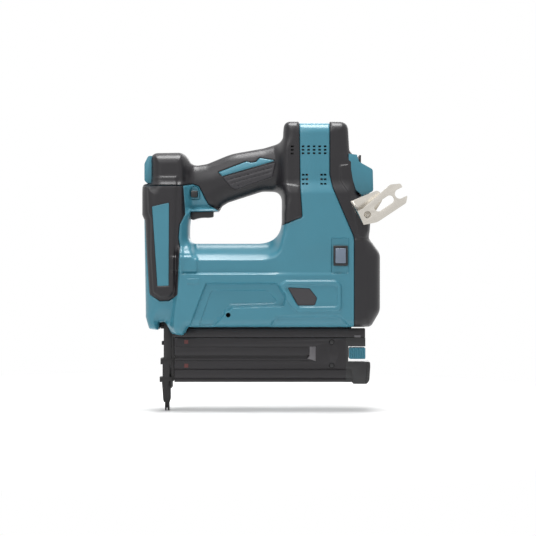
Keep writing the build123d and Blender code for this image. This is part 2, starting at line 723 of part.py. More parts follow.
# ---------------------------------------------------------------- motor
rotor = upright(rotor_radius, stator_bottom + 3, stator_bottom + stator_height - 3, motor_x)
rotor += upright(shaft_radius, 172, 276.7, motor_x) + upright(2.4, 161, 173, motor_x)
rotor += gear_solid(
    gear_points(sun_teeth, sun_pitch - dedendum, sun_pitch + addendum, tooth - backlash, motor_x, 0, 0),
    gear_bottom, gear_width,
)
save(rotor, "rotor")
stator = upright(stator_radius, stator_bottom, stator_bottom + stator_height, motor_x, bore=21.5)
for number in range(6):
    turn = Location((motor_x, 0, 0), (0, 0, 60 * number))
    stator += turn * box(15.5, 22.5, -3.2, 3.2, stator_bottom, stator_bottom + stator_height)
    coil_block = box(17.5, 21, -5.4, 5.4, stator_bottom - 3, stator_bottom + stator_height + 3)
    stator += turn * coil_block
save(stator, "motor_stator")
fan = upright(24, 256, 257.5, motor_x) + upright(7, 256, 266, motor_x)
for number in range(11):
    turn = Location((motor_x, 0, 0), (0, 0, 360 / 11 * number))
    fan += turn * box(6, 23.5, -0.6, 0.6, 257, 266)
save(fan - upright(shaft_radius, 250, 270, motor_x), "fan")
bearings = upright(8, 172, 177.8, motor_x, bore=shaft_radius)
bearings += upright(7, 271.2, 276.8, motor_x, bore=shaft_radius)
bearings += upright(16, bearing_low, bearing_high, motor_x, bore=8)
save(bearings, "bearings")

board = box(188, 189.6, -22, 22, 186, 235)
for x0, y0, y1, z0, z1 in ((184.6, -18, -8, 190, 200), (185.5, -4, 6, 190, 198), (183.5, 10, 18, 210, 222),
                           (186, -16, 4, 206, 226)):
    board += box(x0, 188.5, y0, y1, z0, z1)
for y in (-18, 18):
    board += lengthways(189.6, 193.5, y, 190, 2) + lengthways(189.6, 193.2, y, 230, 2)
save(board, "controller_board")
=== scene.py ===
import bpy
import json
import math
import numpy as np
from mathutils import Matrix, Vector
from mathutils.geometry import delaunay_2d_cdt


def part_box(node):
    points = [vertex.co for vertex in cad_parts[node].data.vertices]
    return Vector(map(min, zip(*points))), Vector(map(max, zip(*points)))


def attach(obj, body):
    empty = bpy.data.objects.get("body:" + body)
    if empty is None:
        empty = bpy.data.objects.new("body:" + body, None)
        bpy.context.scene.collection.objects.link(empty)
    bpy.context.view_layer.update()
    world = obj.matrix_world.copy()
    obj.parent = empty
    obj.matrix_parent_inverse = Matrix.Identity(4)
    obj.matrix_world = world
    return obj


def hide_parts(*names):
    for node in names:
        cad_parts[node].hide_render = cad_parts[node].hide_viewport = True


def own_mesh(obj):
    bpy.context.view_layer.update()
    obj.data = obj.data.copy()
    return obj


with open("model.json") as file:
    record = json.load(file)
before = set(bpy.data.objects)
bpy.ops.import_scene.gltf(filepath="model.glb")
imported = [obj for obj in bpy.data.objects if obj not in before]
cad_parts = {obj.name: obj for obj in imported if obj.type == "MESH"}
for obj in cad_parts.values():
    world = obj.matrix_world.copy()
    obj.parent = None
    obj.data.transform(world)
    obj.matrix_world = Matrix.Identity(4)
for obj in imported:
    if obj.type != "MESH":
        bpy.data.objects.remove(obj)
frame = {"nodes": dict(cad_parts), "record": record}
bpy.ops.object.select_all(action='DESELECT')
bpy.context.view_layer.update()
mm = 0.001


# outlines are in millimetres on the side view, as (x, z)
def roundedLoop(points, step=1.2, span=None):
    # corners given as (x, z, radius), returned as a run of points, straight stretches in spans
    loop = []
    count = len(points)
    for i, (x, z, r) in enumerate(points):
        p = np.array((x, z), float)
        before = np.array(points[i - 1][:2], float) - p
        after = np.array(points[(i + 1) % count][:2], float) - p
        lb, la = np.linalg.norm(before), np.linalg.norm(after)
        before, after = before / lb, after / la
        angle = math.acos(max(-1, min(1, float(before @ after))))
        cut = min(r / max(math.tan(angle / 2), 1e-6), lb * 0.49, la * 0.49) if r else 0
        if cut < 0.05:
            loop.append(p)
            continue
        a, b = p + before * cut, p + after * cut
        turns = max(2, int(cut * 2 / step))
        for t in np.linspace(0, 1, turns + 1):
            loop.append(a * (1 - t) ** 2 + 2 * p * t * (1 - t) + b * t ** 2)
    out = []
    for i, p in enumerate(loop):
        q = loop[(i + 1) % len(loop)]
        length = np.linalg.norm(q - p)
        if length < 1e-4:
            continue
        parts = max(1, int(round(length / (span or step))))
        out += [p + (q - p) * k / parts for k in range(parts)]
    return np.array(out)


def circleLoop(x, z, radius, count=16):
    turns = np.arange(count) * 2 * math.pi / count
    return np.stack([x + radius * np.cos(turns), z + radius * np.sin(turns)], 1)


def rectLoop(x0, x1, z0, z1, r=0.4, step=1.2):
    return roundedLoop([(x0, z0, r), (x1, z0, r), (x1, z1, r), (x0, z1, r)], step)


def distance(points, loop, reach=26.0):
    # distance to a closed loop, positive inside it, and no more than reach outside it
    close = ((points > loop.min(0) - reach) & (points < loop.max(0) + reach)).all(1)
    found = np.full(len(points), -reach)
    if close.any():
        found[close] = exactDistance(points[close], loop)
    return found


def exactDistance(points, loop):
    best = np.full(len(points), 1e9)
    inside = np.zeros(len(points), bool)
    for a, b in zip(loop, np.roll(loop, -1, 0)):
        edge = b - a
        rel = points - a
        t = np.clip((rel @ edge) / max(edge @ edge, 1e-12), 0, 1)
        gap = rel - t[:, None] * edge
        best = np.minimum(best, (gap * gap).sum(1))
        crosses = (a[1] > points[:, 1]) != (b[1] > points[:, 1])
        if a[1] != b[1]:
            at = a[0] + (points[:, 1] - a[1]) * edge[0] / edge[1]
            inside ^= crosses & (points[:, 0] < at)
    return np.where(inside, 1, -1) * np.sqrt(best)


def ramp(low, high, value):
    t = np.clip((value - low) / (high - low), 0, 1)
    return t * t * (3 - 2 * t)


def mix(a, b, weight):
    return a + (b - a) * weight


# the casing is drawn from its side outline, with a height for each point
casing = {
    "outline": [
        (-21.6, 97, 4), (-17.8, 84.5, 2), (-8.6, 83.2, 1), (-7.6, 91, 1), (-1.5, 91.6, 1), (5.6, 79.4, 2),
        (17.9, 78.4, 2), (22.5, 86.7, 2), (209, 86.9, 6), (218.4, 103, 16), (218.4, 162, 14),
        (207, 177.5, 5), (209.5, 213, 5), (196, 223, 3), (196, 259, 2), (191.5, 262, 2), (187.3, 267, 3),
        (185.6, 296.4, 22), (167.2, 296.4, 1.5), (166.4, 294.9, 0.6), (136.2, 294.9, 0.6),
        (135.2, 296.5, 1.5), (120.3, 296.5, 13), (119.2, 276.5, 9), (100, 270.6, 30), (66, 264.6, 60),
        (41, 254.3, 18), (26, 251.8, 12), (18.5, 265.8, 12), (-16.6, 265.3, 8), (-16.6, 234.2, 1.5),
        (-25.3, 233.2, 5), (-25.3, 201.5, 4), (-23.2, 196.5, 3),
    ],
    "handGap": [
        (22.7, 171.8, 13), (118.4, 171.8, 26), (118.4, 225.6, 11), (98, 225.9, 22), (63, 214.6, 12),
        (57, 211, 5), (52.8, 205.1, 1), (24.6, 204.6, 1), (22.9, 190, 6),
    ],
    "skin": 1.6,
    "grid": 1.3, "gridFrom": (-30, 70), "gridTo": (222, 300),  # spacing and reach of the loose points
    "rings": (0.15, 0.5, 1.1, 1.9, 2.9, 4.1, 5.6),  # their distance from the outline
    "nearRing": 0.33, "nearGrid": 0.62,  # a loose point closer than this to another is left out
    "grooveDepth": 0.8, "grooveWidth": 0.9, "coverRise": 0.5, "plateSink": 0.5, "padSink": 0.3,
    "spotReach": (3.2, 4.8), "spotSink": 0.3,  # level spot round a screw
}
widths = {"body": 35.5, "tower": 31.0, "column": 26.6, "cap": 22.5, "handleFront": 15.5, "handleRear": 19.0,
          "ledge": 3.0}  # half widths, and how far in the ledge steps
areas = {  # borders of what is laid into the casing
    "grip": [(-40, 231, 0), (18, 231, 0), (27, 233, 2), (33, 230.5, 3), (42.5, 212, 4), (54, 205, 2),
             (90, 180, 0), (118, 190, 0), (139, 198.5, 2), (137, 228, 6), (136, 310, 0), (-40, 310, 0)],
    "cylinderCover": [(-40, 230.9, 0), (-40, 202, 0), (-22, 197, 3), (-20, 160, 8), (-17, 120, 3),
                      (-6, 113, 2), (3.5, 113.5, 2), (12.3, 119.5, 3), (13, 141, 8), (14.5, 168, 5),
                      (13, 178, 4), (14.2, 191, 4), (19.6, 202, 3), (17.5, 230.9, 0)],
    "rearCover": [(166.5, 310, 0), (166.5, 242, 10), (169.5, 228, 6), (191, 178, 12), (191, 60, 0),
                  (240, 60, 0), (240, 310, 0)],
    "nameplate": [(-14, 209.5, 1), (3.3, 213.5, 1), (2.9, 129, 1), (-8.5, 128.5, 1)],
    "gripAccent": [(53, 245.2, 0.6), (57, 241.2, 1), (112.2, 257, 1), (95.4, 260, 2), (92, 255.8, 1.5),
                   (87, 255, 1), (82, 256.3, 2)],
    "gripPad": [(57.5, 240.2, 1), (111.7, 255.4, 1), (108.7, 240.5, 3), (71, 227.5, 3), (65.8, 230, 3)],
    "sidePad": [(123.8, 127.3, 1), (146.2, 126.3, 2), (153.8, 116.5, 3), (151.3, 109, 2), (134, 109, 2)],
}
reliefs = [  # border, height, width of its slope, and the sides that have it
    ([(41.3, 131.4, 3), (112.5, 131.4, 3), (122, 119, 2), (119.7, 108.4, 2), (67.5, 106.6, 3),
      (47.9, 86.9, 0), (44, 60, 0), (14, 60, 0)], -2.9, 1.8, "both"),
    ([(46.5, 124.3, 4), (104, 124.3, 3), (113, 113.5, 2), (110, 111, 2), (66, 109.8, 3), (46, 88, 0),
      (34, 88, 0)], -1.2, 1.3, "both"),
    ([(116.4, 124, 2), (116.4, 130, 4), (122.5, 134, 4), (174, 134, 7), (178.2, 129, 5), (178.2, 103.2, 5),
      (133, 103.2, 5), (128.6, 107, 3)], 2.3, 2.2, "both"),
    ([(121, 126.5, 2), (126, 130.4, 3), (172, 130, 5), (174.4, 127, 3), (174.4, 107.6, 4),
      (135.4, 107.2, 4)], -1.3, 1.5, "both"),
    ([(104, 60, 0), (107.5, 91, 8), (113, 97.2, 7), (176, 98.2, 7), (184.5, 90, 5), (185.5, 60, 0)],
     -3.2, 3.4, "both"),
    ([(168.2, 141.6, 1), (185.9, 141.6, 1), (185.9, 177.2, 1), (168.2, 177.2, 1)], -1.0, 0.8, "left"),
    ([(5.2, 143, 3), (32.3, 143, 3), (32.3, 158.8, 4), (5.2, 158.8, 4)], 2.3, 3.2, "both"),
    ([(22, 131, 0.5), (34, 131, 0.5), (34, 136, 0.5), (22, 136, 0.5)], 0.4, 0.5, "both"),
    ([(23.7, 217.2, 1), (34, 217.2, 1), (34, 225, 2), (31, 231, 4), (26.5, 231, 4), (23.7, 226, 3)],
     -1.6, 1.0, "both"),
    ([(-19.2, 240, 0), (-17.8, 204, 4), (-15, 196, 6), (-15.2, 160, 6), (-12.6, 122, 3), (-5, 117, 3),
      (3, 117.5, 3), (8.4, 123, 4), (8.6, 160, 8), (9.6, 200, 6), (11, 240, 0)], 1.6, 2.8, "both"),
    ([(177, 251, 2), (186.4, 252, 2), (193, 227, 6), (207, 203, 5), (205.5, 178, 4), (195.5, 178, 4),
      (192, 194, 6), (188, 220, 6), (177.6, 235, 6)], 1.0, 1.8, "both"),
    ([(190, 176.5, 4), (205, 175.5, 4), (240, 160, 0), (240, 50, 0), (190, 50, 0)], 0.9, 2.2, "both"),
    ([(116, 233, 3), (135, 230.5, 4), (137, 200, 3), (110, 186, 0), (110, 233, 0)], 0.9, 2.2, "both"),
]
gripRibs = {"slope": 0.277, "spacing": 4.4, "depth": 1.2, "width": 0.9}
ventHoles = [(x, z) for x in (139.6, 145.2, 150.8, 156.4, 162) for z in (263.4, 266.9, 270.4)]
ventHoles += [(x, z) for x in (139.8, 143.4, 158.4, 162) for z in (232.4, 237, 241.6)]
gripVents = [(128.6, z) for z in (263.2, 266.8, 270.4)]
screwSpots = {"left": [(63.7, 99.2)], "right": [(178, 96), (40, 160), (127, 287), (172, 284), (84, 243)]}
screwHoles = {"left": 2.4, "right": 2.6}  # radius
holeLoops = {
    "both": [rectLoop(x - 1.35, x + 1.35, z - 0.95, z + 0.95, 0.3, 1.3) for x, z in ventHoles]
    + [rectLoop(x - 1.5, x + 1.5, z - 0.9, z + 0.9, 0.3, 1.3) for x, z in gripVents]
    + [rectLoop(25 - 0.3, 31.6 + 0.3, 219.3, 226.3, 0.5)],
    "left": [rectLoop(171, 184, 150, 168.6, 0.4)],
    "right": [rectLoop(18.4, 29.6, 106.7, 113.3, 0.4)],
}
for side, spots in screwSpots.items():
    holeLoops[side] += [circleLoop(x, z, screwHoles[side]) for x, z in spots]


def halfWidth(x, z):
    body = mix(widths["body"], widths["tower"], ramp(222, 237, z))
    column = mix(widths["column"], widths["cap"], ramp(229, 237, z))
    lean = 0.12 * np.clip(142 - z, 0, 60)
    inBody = ramp(10, 16, x + lean) * (1 - ramp(160, 171, z) * (1 - ramp(106, 120, x)))
    width = mix(column, body, inBody)
    neck = ramp(200, 209, z) * ramp(15, 28, x) * (1 - ramp(110, 124, x))
    handle = mix(widths["handleFront"], widths["handleRear"], ramp(25, 110, x))
    width = mix(width, handle, neck)
    ledge = ramp(140.2, 142.4, z) * ramp(14, 20, x) * (1 - 0.6 * ramp(96, 128, x)) * (1 - ramp(176, 183, x))
    ledge = ledge * (1 - ramp(128, 150, x) * ramp(150, 175, z))
    return width - widths["ledge"] * ledge


def rimShape(x, z):
    # how wide the casing still is at its outline, and how far in its rounding reaches
    edge, rim = np.full(len(x), 27.0), np.full(len(x), 8.0)
    zones = [
        (1 - ramp(3, 12, x), 10.0, 15.5),
        ((1 - ramp(3, 12, x)) * (1 - ramp(88, 104, z)), 15.0, 8.0),
        (ramp(3, 12, x) * (1 - ramp(26, 34, x)) * ramp(164, 176, z), 13.0, 10.0),
        (ramp(18, 30, x) * (1 - ramp(112, 124, x)) * ramp(145, 152, z), 12.0, 18.5),
        (ramp(206, 222, z) * ramp(108, 120, x), 20.0, 11.0),
        (ramp(222, 237, z) * (1 - ramp(20, 28, x)), 6.0, 12.0),
        (ramp(205, 210, z) * ramp(18, 28, x) * (1 - ramp(110, 122, x)), 1.0, 20.0),
        (ramp(200, 203, z) * (1 - ramp(207, 210, z)) * ramp(20, 25, x) * (1 - ramp(53, 57, x)), 11.5, 2.0),
        (ramp(196, 208, x) * (1 - ramp(176, 200, z)), 20.0, 15.0),
        (ramp(196, 204, x) * ramp(180, 186, z), 27.0, 8.0),
    ]
    for weight, edgeValue, rimValue in zones:
        edge, rim = mix(edge, edgeValue, weight), mix(rim, rimValue, weight)
    return edge, rim


outlineLoop = roundedLoop(casing["outline"])
gapLoop = roundedLoop(casing["handGap"])
areaLoops = {name: roundedLoop(points) for name, points in areas.items()}
reliefLoops = [(roundedLoop(points), height, slope, side) for points, height, slope, side in reliefs]


def casingHeight(points, side, spots=True):
    x, z = points[:, 0], points[:, 1]
    inward = np.minimum(distance(points, outlineLoop), -distance(points, gapLoop))
    inward = np.maximum(inward, 0)
    full = halfWidth(x, z)
    edge, rim = rimShape(x, z)
    t = np.clip(inward / rim, 0, 1)
    rounded = np.sqrt(np.clip(1 - (1 - t) ** 2, 0, 1))
    flatFace = ramp(24, 32, x) * (1 - ramp(104, 118, x)) * ramp(145, 150, z) * (1 - ramp(176, 182, z))
    y = edge + (full - edge) * mix(rounded, np.minimum(t * 1.02 + 0.06, 1), flatFace)
    fade = ramp(0, 3, inward)
    for loop, height, slope, where in reliefLoops:
        if where in ("both", side):
            y = y + height * ramp(-slope / 2, slope / 2, distance(points, loop, 6.0)) * fade
    for spot in screwSpots[side] if spots else ():  # a level spot round each screw hole
        level = casingHeight(np.array([spot]), side, False)[0] - casing["spotSink"]
        y = mix(level, y, ramp(*casing["spotReach"], np.hypot(x - spot[0], z - spot[1])))
    for name, loop in areaLoops.items():
        d = distance(points, loop, 6.0)
        y = y - casing["grooveDepth"] * np.clip(1 - np.abs(d) / casing["grooveWidth"], 0, 1) ** 1.5
        if name in ("grip", "cylinderCover", "rearCover"):
            y = y + casing["coverRise"] * ramp(0, 1.2, d)
        if name == "nameplate":
            y = y - casing["plateSink"] * ramp(0, 1.2, d)
        if name == "gripPad":
            across = (z - gripRibs["slope"] * x) / gripRibs["spacing"]
            line = np.abs(across - np.round(across)) * gripRibs["spacing"]
            cut = gripRibs["depth"] * np.clip(1 - line / gripRibs["width"], 0, 1) * ramp(1.5, 3.0, d)
            y = y - cut - casing["padSink"] * ramp(0, 1.2, d)
    return y


def normalsOf(loop):
    ahead = np.roll(loop, -1, 0) - np.roll(loop, 1, 0)
    ahead /= np.maximum(np.linalg.norm(ahead, axis=1), 1e-9)[:, None]
    return np.stack([-ahead[:, 1], ahead[:, 0]], 1)


def sidePoints(side):
    # fixed loops first, then rings beside them, then an even grid
    fixed = [outlineLoop, gapLoop] + list(areaLoops.values()) + holeLoops["both"] + holeLoops[side]
    rings = []
    for loop in (outlineLoop, gapLoop):
        n = normalsOf(loop)
        for out in casing["rings"]:
            for sign in (1, -1):
                ring = loop + n * out * sign
                keep = np.abs(distance(ring, loop, 8.0)) > out * 0.93
                rings.append(ring[keep])
    for loop in areaLoops.values():
        n = normalsOf(loop)
        for out in (0.45, 0.95, -0.45, -0.95):
            ring = loop + n * out
            rings.append(ring[np.abs(distance(ring, loop)) > abs(out) * 0.93])
    for loop, height, slope, where in reliefLoops:
        if where in ("both", side):
            n = normalsOf(loop)
            for out in (0.5, 0.25, 0, -0.25, -0.5):
                ring = loop + n * out * slope
                rings.append(ring[np.abs(distance(ring, loop)) > abs(out) * slope * 0.93 - 1e-6])
    (x0, z0), (x1, z1), step = casing["gridFrom"], casing["gridTo"], casing["grid"]
    xs, zs = np.meshgrid(np.arange(x0, x1, step), np.arange(z0, z1, step * 0.87))
    xs = xs + (np.arange(xs.shape[0]) % 2)[:, None] * step / 2
    grid = np.stack([xs.ravel(), zs.ravel()], 1)
    loose = np.concatenate(rings + [grid])
    inward = np.minimum(distance(loose, outlineLoop), -distance(loose, gapLoop))
    loose = loose[inward > 0.1]
    points, edges = [], []
    taken = {}

    def near(p, reach):
        cx, cz = int(p[0] // 0.5), int(p[1] // 0.5)
        for i in range(cx - 2, cx + 3):
            for j in range(cz - 2, cz + 3):
                for q in taken.get((i, j), ()):
                    if (p[0] - q[0]) ** 2 + (p[1] - q[1]) ** 2 < reach * reach:
                        return True
        return False

    for loop in fixed:
        start = len(points)
        for p in loop:
            points.append(p)
            taken.setdefault((int(p[0] // 0.5), int(p[1] // 0.5)), []).append(p)
        edges += [(start + i, start + (i + 1) % len(loop)) for i in range(len(loop))]
    ringCount = sum(len(r) for r in rings)
    for number, p in enumerate(loose):
        if not near(p, casing["nearRing"] if number < ringCount else casing["nearGrid"]):
            points.append(p)
            taken.setdefault((int(p[0] // 0.5), int(p[1] // 0.5)), []).append(p)
    return points, edges


lowSides = [  # x and z limits of an outline stretch that stays open near the middle plane, and how wide
    (-9, 26, 70, 92.5, 9.6), (24, 49, 203, 207, 8.0), (204, 213, 181, 216, 20.2),
]


def casingSide(side):
    points, edges = sidePoints(side)
    verts, _, faces, *_ = delaunay_2d_cdt([Vector(p) for p in points], edges, [], 0, 1e-5)
    flat = np.array([tuple(v) for v in verts])
    faces = np.array([f for f in faces if len(f) == 3])
    centre = flat[faces].mean(1)
    a, b, c = flat[faces[:, 0]], flat[faces[:, 1]], flat[faces[:, 2]]
    turned = (b[:, 0] - a[:, 0]) * (c[:, 1] - a[:, 1]) - (b[:, 1] - a[:, 1]) * (c[:, 0] - a[:, 0])
    inward = np.minimum(distance(centre, outlineLoop), -distance(centre, gapLoop))
    inside = (inward > 0) & (np.abs(turned) > 1e-7)
    for loop in holeLoops["both"] + holeLoops[side]:
        inside &= distance(centre, loop, 3.0) < 0
    owner = np.full(len(faces), "housing", dtype=object)
    for name in ("grip", "cylinderCover", "rearCover", "nameplate", "gripAccent", "gripPad", "sidePad"):
        owner[distance(centre, areaLoops[name], 3.0) > 0] = name
    y = casingHeight(flat, side)
    onOutline = np.abs(np.minimum(distance(flat, outlineLoop), -distance(flat, gapLoop))) < 0.02
    sign = -1 if side == "left" else 1
    made = {}
    for name in sorted(set(owner)):
        chosen = faces[inside & (owner == name)]
        flip = turned[inside & (owner == name)] < 0
        chosen[flip] = chosen[flip][:, ::-1]
        if side == "right":
            chosen = chosen[:, ::-1]
        used = np.unique(chosen)
        place = {int(v): i for i, v in enumerate(used)}
        coords = [(flat[v, 0] * mm, sign * y[v] * mm, flat[v, 1] * mm) for v in used]
        tris = [tuple(place[int(v)] for v in f) for f in chosen]
        border = {}
        for f in tris:
            for p, q in zip(f, f[1:] + f[:1]):
                if (q, p) in border:
                    del border[(q, p)]
                else:
                    border[(p, q)] = True
        rimAt = {}

        def rimVertex(i):
            # the outline's wall comes down to the plane where the halves meet
            if i not in rimAt:
                x, z = flat[used[i]]
                low = 0.06
                for x0, x1, z0, z1, width in lowSides:
                    if x0 < x < x1 and z0 < z < z1:
                        low = width
                low = min(low, y[used[i]] - 0.3)
                rimAt[i] = len(coords)
                coords.append((x * mm, sign * low * mm, z * mm))
            return rimAt[i]

        walls = []
        for p, q in border:
            if onOutline[used[p]] and onOutline[used[q]]:
                walls.append((q, p, rimVertex(p), rimVertex(q)))
        made[name] = meshPiece(name + side.capitalize(), coords, tris + walls)
    return made


def meshPiece(name, coords, faces):
    mesh = bpy.data.meshes.new(name)
    mesh.from_pydata(coords, [], faces)
    mesh.validate()
    piece = bpy.data.objects.new(name, mesh)
    bpy.context.scene.collection.objects.link(piece)
    return piece


def pickOnly(piece):
    bpy.ops.object.select_all(action='DESELECT')
    piece.hide_viewport = False
    piece.select_set(True)
    bpy.context.view_layer.objects.active = piece


def applyAll(piece):
    pickOnly(piece)
    for modifier in list(piece.modifiers):
        bpy.ops.object.modifier_apply(modifier=modifier.name)


def thicken(piece, depth):
    shell = piece.modifiers.new("wall", 'SOLIDIFY')
    shell.thickness = depth * mm
    shell.offset = -1
    shell.use_rim = True
    applyAll(piece)


def smoothByAngle(piece, degrees=35):
    pickOnly(piece)
    bpy.ops.object.shade_smooth_by_angle(angle=math.radians(degrees))


cornerStep, wholeStretch = 0.8, 1000  # straight stretches of a prism stay in one span
easing = {"bevelFrom": 30, "smoothTo": 32}  # degrees


def prism(name, corners, low, high, along="y"):
    # a flat rounded outline, extruded along one axis; corners are (x, z), (y, z) or (x, y)
    loop = roundedLoop([(*c, 0) if len(c) == 2 else c for c in corners], cornerStep, wholeStretch)
    bpy.ops.object.select_all(action='DESELECT')
    bpy.ops.mesh.primitive_circle_add(vertices=len(loop), radius=1, fill_type='NGON')
    piece = bpy.context.active_object
    piece.name = piece.data.name = name
    order = {"y": (0, 2, 1), "x": (2, 0, 1), "z": (0, 1, 2)}[along]
    for vertex, (u, v) in zip(piece.data.vertices, loop):
        spot = (u * mm, v * mm, low * mm)
        vertex.co = {"y": (spot[0], spot[2], spot[1]), "x": (spot[2], spot[0], spot[1]), "z": spot}[along]
    shift = [0, 0, 0]
    shift["xyz".index(along)] = (high - low) * mm
    bpy.ops.object.mode_set(mode='EDIT')
    bpy.ops.mesh.select_all(action='SELECT')
    bpy.ops.mesh.extrude_region_move(TRANSFORM_OT_translate={"value": shift})
    bpy.ops.mesh.select_all(action='SELECT')
    bpy.ops.mesh.normals_make_consistent(inside=False)
    bpy.ops.object.mode_set(mode='OBJECT')
    return piece


def box2(u0, u1, v0, v1, r=0):
    return [(u0, v0, r), (u1, v0, r), (u1, v1, r), (u0, v1, r)]


def rod(name, low, high, radius, around, count=32):
    # a round bar along y at a place (x, z)
    return prism(name, [tuple(p) for p in circleLoop(*around, radius, count)], low, high)


def carve(piece, *cutters, join=False):
    for cutter in cutters:
        cut = piece.modifiers.new("cut", 'BOOLEAN')
        cut.operation = 'UNION' if join else 'DIFFERENCE'
        cut.solver = 'EXACT'
        cut.object = cutter
        applyAll(piece)
        bpy.data.objects.remove(cutter)
    return piece


def easeEdges(piece, width, segments=2):
    bevel = piece.modifiers.new("ease", 'BEVEL')
    bevel.width = width * mm
    bevel.segments = segments
    bevel.limit_method = 'ANGLE'
    bevel.angle_limit = math.radians(easing["bevelFrom"])
    bevel.use_clamp_overlap = True
    applyAll(piece)
    smoothByAngle(piece, easing["smoothTo"])
    return piece


def cleanCopy(node):
    # the CAD piece's own shape, as a clean mesh with flat faces
    piece = bpy.data.objects.new(node + "Soft", frame["nodes"][node].data.copy())
    bpy.context.scene.collection.objects.link(piece)
    pickOnly(piece)
    bpy.ops.object.mode_set(mode='EDIT')
    bpy.ops.mesh.select_all(action='SELECT')
    bpy.ops.mesh.remove_doubles(threshold=0.000004)
    bpy.ops.mesh.dissolve_limited(angle_limit=math.radians(1.0))
    bpy.ops.mesh.normals_make_consistent(inside=False)
    bpy.ops.object.mode_set(mode='OBJECT')
    return piece


def socketGroup(name, inputs, outputs):
    group = bpy.data.node_groups.new(name, 'ShaderNodeTree')
    for label, kind, value in inputs:
        s = group.interface.new_socket(label, in_out='INPUT', socket_type=kind)
        s.default_value = value
    for label, kind in outputs:
        group.interface.new_socket(label, in_out='OUTPUT', socket_type=kind)
    return group, group.nodes.new('NodeGroupInput'), group.nodes.new('NodeGroupOutput')


def varyToneAndGloss(group, noise, start, end):
    # moves the colour and the roughness a little either way with a noise
    nodes, links = group.nodes, group.links
    shift = nodes.new('ShaderNodeMath')
    shift.operation = 'SUBTRACT'
    shift.inputs[1].default_value = 0.5
    links.new(noise.outputs["Fac"], shift.inputs[0])
    tone = nodes.new('ShaderNodeMath')
    tone.operation = 'MULTIPLY_ADD'
    tone.inputs[2].default_value = 1
    links.new(shift.outputs[0], tone.inputs[0])
    links.new(start.outputs["Tone"], tone.inputs[1])
    tinted = nodes.new('ShaderNodeVectorMath')
    tinted.operation = 'SCALE'
    links.new(start.outputs["Colour"], tinted.inputs[0])
    links.new(tone.outputs[0], tinted.inputs["Scale"])
    rough = nodes.new('ShaderNodeMath')
    rough.operation = 'MULTIPLY_ADD'
    links.new(shift.outputs[0], rough.inputs[0])
    links.new(start.outputs["Spread"], rough.inputs[1])
    links.new(start.outputs["Rough"], rough.inputs[2])
    links.new(tinted.outputs[0], end.inputs["Colour"])
    links.new(rough.outputs[0], end.inputs["Rough"])


def makeGrain():
    # fine moulded grain with a slow change of tone and of gloss
    inputs = [("Size", 'NodeSocketFloat', 900.0), ("Depth", 'NodeSocketFloat', 0.1),
              ("Tone", 'NodeSocketFloat', 0.05), ("Rough", 'NodeSocketFloat', 0.4),
              ("Spread", 'NodeSocketFloat', 0.06),
              ("Colour", 'NodeSocketColor', (1, 1, 1, 1))]
    outputs = [("Colour", 'NodeSocketColor'), ("Rough", 'NodeSocketFloat'), ("Normal", 'NodeSocketVector')]
    group, start, end = socketGroup("grainFinish", inputs, outputs)
    nodes, links = group.nodes, group.links
    where = nodes.new('ShaderNodeTexCoord')
    fine = nodes.new('ShaderNodeTexNoise')
    fine.inputs["Detail"].default_value = 3
    links.new(where.outputs["Object"], fine.inputs["Vector"])
    links.new(start.outputs["Size"], fine.inputs["Scale"])
    bump = nodes.new('ShaderNodeBump')
    bump.inputs["Distance"].default_value = 0.0004
    links.new(start.outputs["Depth"], bump.inputs["Strength"])
    links.new(fine.outputs["Fac"], bump.inputs["Height"])
    slow = nodes.new('ShaderNodeTexNoise')
    slow.inputs["Scale"].default_value = 28
    slow.inputs["Detail"].default_value = 4
    links.new(where.outputs["Object"], slow.inputs["Vector"])
    varyToneAndGloss(group, slow, start, end)
    links.new(bump.outputs["Normal"], end.inputs["Normal"])
    return group


def makeBrushed():
    # long fine lines along one axis, as drawn or machined metal has
    inputs = [("Stretch", 'NodeSocketVector', (40, 1400, 1400)), ("Depth", 'NodeSocketFloat', 0.08),
              ("Rough", 'NodeSocketFloat', 0.3), ("Spread", 'NodeSocketFloat', 0.15),
              ("Colour", 'NodeSocketColor', (1, 1, 1, 1)), ("Tone", 'NodeSocketFloat', 0.1)]
    outputs = [("Colour", 'NodeSocketColor'), ("Rough", 'NodeSocketFloat'), ("Normal", 'NodeSocketVector')]
    group, start, end = socketGroup("brushedFinish", inputs, outputs)
    nodes, links = group.nodes, group.links
    where = nodes.new('ShaderNodeTexCoord')
    stretch = nodes.new('ShaderNodeVectorMath')
    stretch.operation = 'MULTIPLY'
    links.new(where.outputs["Object"], stretch.inputs[0])
    links.new(start.outputs["Stretch"], stretch.inputs[1])
    lines = nodes.new('ShaderNodeTexNoise')
    lines.inputs["Scale"].default_value = 1
    lines.inputs["Detail"].default_value = 4
    links.new(stretch.outputs[0], lines.inputs["Vector"])
    bump = nodes.new('ShaderNodeBump')
    bump.inputs["Distance"].default_value = 0.0003
    links.new(start.outputs["Depth"], bump.inputs["Strength"])
    links.new(lines.outputs["Fac"], bump.inputs["Height"])
    varyToneAndGloss(group, lines, start, end)
    links.new(bump.outputs["Normal"], end.inputs["Normal"])
    return group


grainGroup = makeGrain()
brushedGroup = makeBrushed()


